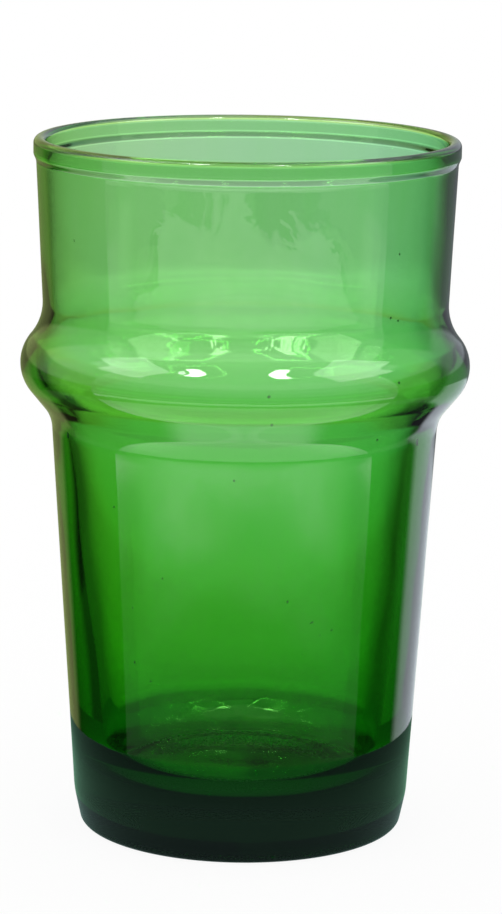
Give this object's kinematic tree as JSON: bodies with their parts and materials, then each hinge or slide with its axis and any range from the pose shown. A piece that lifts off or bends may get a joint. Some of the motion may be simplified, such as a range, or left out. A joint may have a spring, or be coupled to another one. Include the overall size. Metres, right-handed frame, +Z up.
{
  "type": "moroccan tea glass",
  "caption": "Green glass tumbler for mint tea with a thick base, tapered lower cup, bulging collar, flared upper cup and rounded rim.",
  "frame": {"origin": "centre of the foot, on the surface that the glass stands on", "axes": "+Z up along the axis of revolution, from the foot to the rim"},
  "size_m": [0.0592, 0.0592, 0.092],
  "materials": {
    "green_glass": "clear green recycled glass, blown, fire-polished at the rim"
  },
  "bodies": {
    "root": {"tea_glass": "green_glass"}
  },
  "joints": []
}
